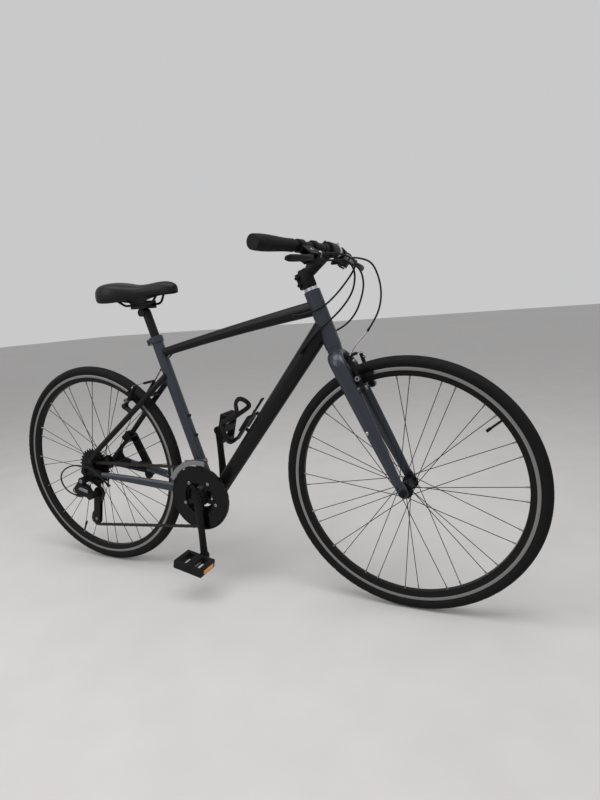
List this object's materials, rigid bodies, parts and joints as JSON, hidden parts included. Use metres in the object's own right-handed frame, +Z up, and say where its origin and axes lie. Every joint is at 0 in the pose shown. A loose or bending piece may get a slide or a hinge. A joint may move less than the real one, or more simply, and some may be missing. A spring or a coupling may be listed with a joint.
{
  "type": "hybrid bicycle",
  "caption": "Hybrid bicycle with sloping top tube, straight fork, rim brakes, derailleur gears, raised stem, bottle cage and side stand; wheels, cranks, steering, levers and stand move.",
  "frame": {"origin": "on the ground midway between the two axles", "axes": "+X forward, +Y to the rider's left, +Z up"},
  "size_m": [1.7499, 0.6192, 0.9833],
  "materials": {
    "slate_paint": "satin",
    "black_paint": "satin",
    "alloy": "satin",
    "black_alloy": "satin anodised",
    "steel": "brushed",
    "chrome": "polished",
    "tyre": "matt",
    "rubber": "matt",
    "black_plastic": "matt",
    "grey_plastic": "satin",
    "gloss_black": "gloss",
    "saddle_cover": "matt",
    "housing": "satin"
  },
  "bodies": {
    "frame": {"head_tube": "slate_paint", "top_tube": "black_paint", "down_tube": "black_paint", "seat_tube": "slate_paint", "bottom_bracket_shell": "slate_paint", "chainstays": "slate_paint", "seatstays": "black_paint", "dropouts": "slate_paint", "seat_clamp": "black_alloy", "headset_bearings": "steel", "bottom_bracket_cups": "steel", "bottle_cage": "black_alloy", "frame_fittings": "steel", "front_derailleur": "alloy", "kickstand_bracket": "black_alloy", "chain": "steel", "rear_axle": "steel", "cable_housings": "housing", "rear_derailleur": "alloy", "rear_derailleur_cage": "black_plastic"},
    "seatpost": {"seatpost": "black_alloy", "saddle_rails": "black_plastic", "saddle": "saddle_cover"},
    "fork": {"fork_crown": "slate_paint", "fork_blades": "slate_paint", "stem": "black_alloy", "headset_spacers": "chrome", "handlebar": "black_alloy", "grips": "rubber", "brake_brackets": "black_alloy", "shifter_pods": "alloy", "bell": "alloy", "front_axle": "steel", "front_brake_cable": "housing"},
    "front_wheel": {"front_tyre": "tyre", "front_rim": "black_alloy", "front_spokes": "steel", "front_hub": "alloy"},
    "rear_wheel": {"rear_tyre": "tyre", "rear_rim": "black_alloy", "rear_spokes": "steel", "rear_hub": "alloy"},
    "crank": {"crank_arms": "black_alloy", "chainrings": "steel", "chain_guard": "gloss_black"},
    "cassette": {"cassette": "steel"},
    "pedal_left": {"pedal_left": "black_plastic"},
    "pedal_right": {"pedal_right": "black_plastic"},
    "front_brake_arm_left": {"front_brake_arm_left": "black_alloy"},
    "front_brake_arm_right": {"front_brake_arm_right": "black_alloy"},
    "rear_brake_arm_left": {"rear_brake_arm_left": "black_alloy"},
    "rear_brake_arm_right": {"rear_brake_arm_right": "black_alloy"},
    "brake_lever_left": {"brake_lever_left": "black_alloy"},
    "brake_lever_right": {"brake_lever_right": "black_alloy"},
    "shift_lever_left": {"shift_lever_left": "black_plastic"},
    "shift_lever_right": {"shift_lever_right": "black_plastic"},
    "kickstand_leg": {"kickstand_leg": "black_alloy"},
    "upper_pulley": {"upper_pulley": "black_plastic"},
    "lower_pulley": {"lower_pulley": "black_plastic"}
  },
  "joints": [
    {"name": "seatpost_slide", "type": "slide", "parent": "frame", "child": "seatpost", "axis": [-0.284, 0, 0.9588], "range_m": [-0.06, 0.03]},
    {"name": "steering", "type": "hinge", "parent": "frame", "child": "fork", "pos_m": [0.35221, 0, 0.71375], "axis": [-0.3239, 0, 0.9461], "range_deg": [-45, 45], "deforming": ["cable_housings"]},
    {"name": "front_wheel_spin", "type": "hinge", "parent": "fork", "child": "front_wheel", "pos_m": [0.532, 0, 0.343], "axis": [0, 1, 0], "continuous": true},
    {"name": "rear_wheel_spin", "type": "hinge", "parent": "frame", "child": "rear_wheel", "pos_m": [-0.532, 0, 0.343], "axis": [0, 1, 0], "continuous": true},
    {"name": "crank_spin", "type": "hinge", "parent": "frame", "child": "crank", "pos_m": [-0.08414, 0, 0.282], "axis": [0, 1, 0], "continuous": true},
    {"name": "cassette_spin", "type": "hinge", "parent": "frame", "child": "cassette", "pos_m": [-0.532, 0, 0.343], "axis": [0, 1, 0], "continuous": true},
    {"name": "upper_pulley_spin", "type": "hinge", "parent": "frame", "child": "upper_pulley", "pos_m": [-0.503, -0.0568, 0.265], "axis": [0, 1, 0], "continuous": true},
    {"name": "lower_pulley_spin", "type": "hinge", "parent": "frame", "child": "lower_pulley", "pos_m": [-0.522, -0.0568, 0.172], "axis": [0, 1, 0], "continuous": true},
    {"name": "pedal_right_spin", "type": "hinge", "parent": "crank", "child": "pedal_right", "pos_m": [-0.07803, -0.1345, 0.10711], "axis": [0, 1, 0], "continuous": true},
    {"name": "pedal_left_spin", "type": "hinge", "parent": "crank", "child": "pedal_left", "pos_m": [-0.09024, 0.1345, 0.45689], "axis": [0, 1, 0], "continuous": true},
    {"name": "brake_lever_right_pull", "type": "hinge", "parent": "fork", "child": "brake_lever_right", "pos_m": [0.36463, -0.14739, 0.94225], "axis": [-0.5864, 0.1354, -0.7986], "range_deg": [0, 15], "stiffness_Nm_per_rad": 0.6, "deforming": ["cable_housings"]},
    {"name": "shift_lever_right_push", "type": "hinge", "parent": "fork", "child": "shift_lever_right", "pos_m": [0.35019, -0.09685, 0.92511], "axis": [0.5864, -0.1354, 0.7986], "range_deg": [0, 25], "stiffness_Nm_per_rad": 0.2},
    {"name": "brake_lever_left_pull", "type": "hinge", "parent": "fork", "child": "brake_lever_left", "pos_m": [0.36463, 0.14739, 0.94225], "axis": [0.5864, 0.1354, 0.7986], "range_deg": [0, 15], "stiffness_Nm_per_rad": 0.6, "deforming": ["front_brake_cable"]},
    {"name": "shift_lever_left_push", "type": "hinge", "parent": "fork", "child": "shift_lever_left", "pos_m": [0.35019, 0.09685, 0.92511], "axis": [-0.5864, -0.1354, -0.7986], "range_deg": [0, 25], "stiffness_Nm_per_rad": 0.2},
    {"name": "front_brake_arm_right_swing", "type": "hinge", "parent": "fork", "child": "front_brake_arm_right", "pos_m": [0.43923, -0.041, 0.60959], "axis": [-0.9445, 0, -0.3286], "range_deg": [0, 3.3]},
    {"name": "front_brake_arm_left_swing", "type": "hinge", "parent": "fork", "child": "front_brake_arm_left", "pos_m": [0.43923, 0.041, 0.60959], "axis": [0.9445, 0, 0.3286], "range_deg": [0, 3.3]},
    {"name": "rear_brake_arm_right_swing", "type": "hinge", "parent": "frame", "child": "rear_brake_arm_right", "pos_m": [-0.34928, -0.041, 0.55815], "axis": [-0.7622, 0, 0.6473], "range_deg": [0, 3.3]},
    {"name": "rear_brake_arm_left_swing", "type": "hinge", "parent": "frame", "child": "rear_brake_arm_left", "pos_m": [-0.34928, 0.041, 0.55815], "axis": [0.7622, 0, -0.6473], "range_deg": [0, 3.3]},
    {"name": "kickstand_swing", "type": "hinge", "parent": "frame", "child": "kickstand_leg", "pos_m": [-0.402, 0.101, 0.292], "axis": [-0.0299, -0.9695, -0.2433], "range_deg": [0, 99.79]}
  ],
  "couplings": [
    {"joint": "cassette_spin", "follows": "crank_spin", "ratio": 3.5385},
    {"joint": "lower_pulley_spin", "follows": "crank_spin", "ratio": 4.1818},
    {"joint": "upper_pulley_spin", "follows": "crank_spin", "ratio": -4.1818},
    {"joint": "front_brake_arm_right_swing", "follows": "brake_lever_left_pull", "ratio": 0.21333},
    {"joint": "front_brake_arm_left_swing", "follows": "brake_lever_left_pull", "ratio": 0.21333},
    {"joint": "rear_brake_arm_right_swing", "follows": "brake_lever_right_pull", "ratio": 0.21333},
    {"joint": "rear_brake_arm_left_swing", "follows": "brake_lever_right_pull", "ratio": 0.21333}
  ]
}
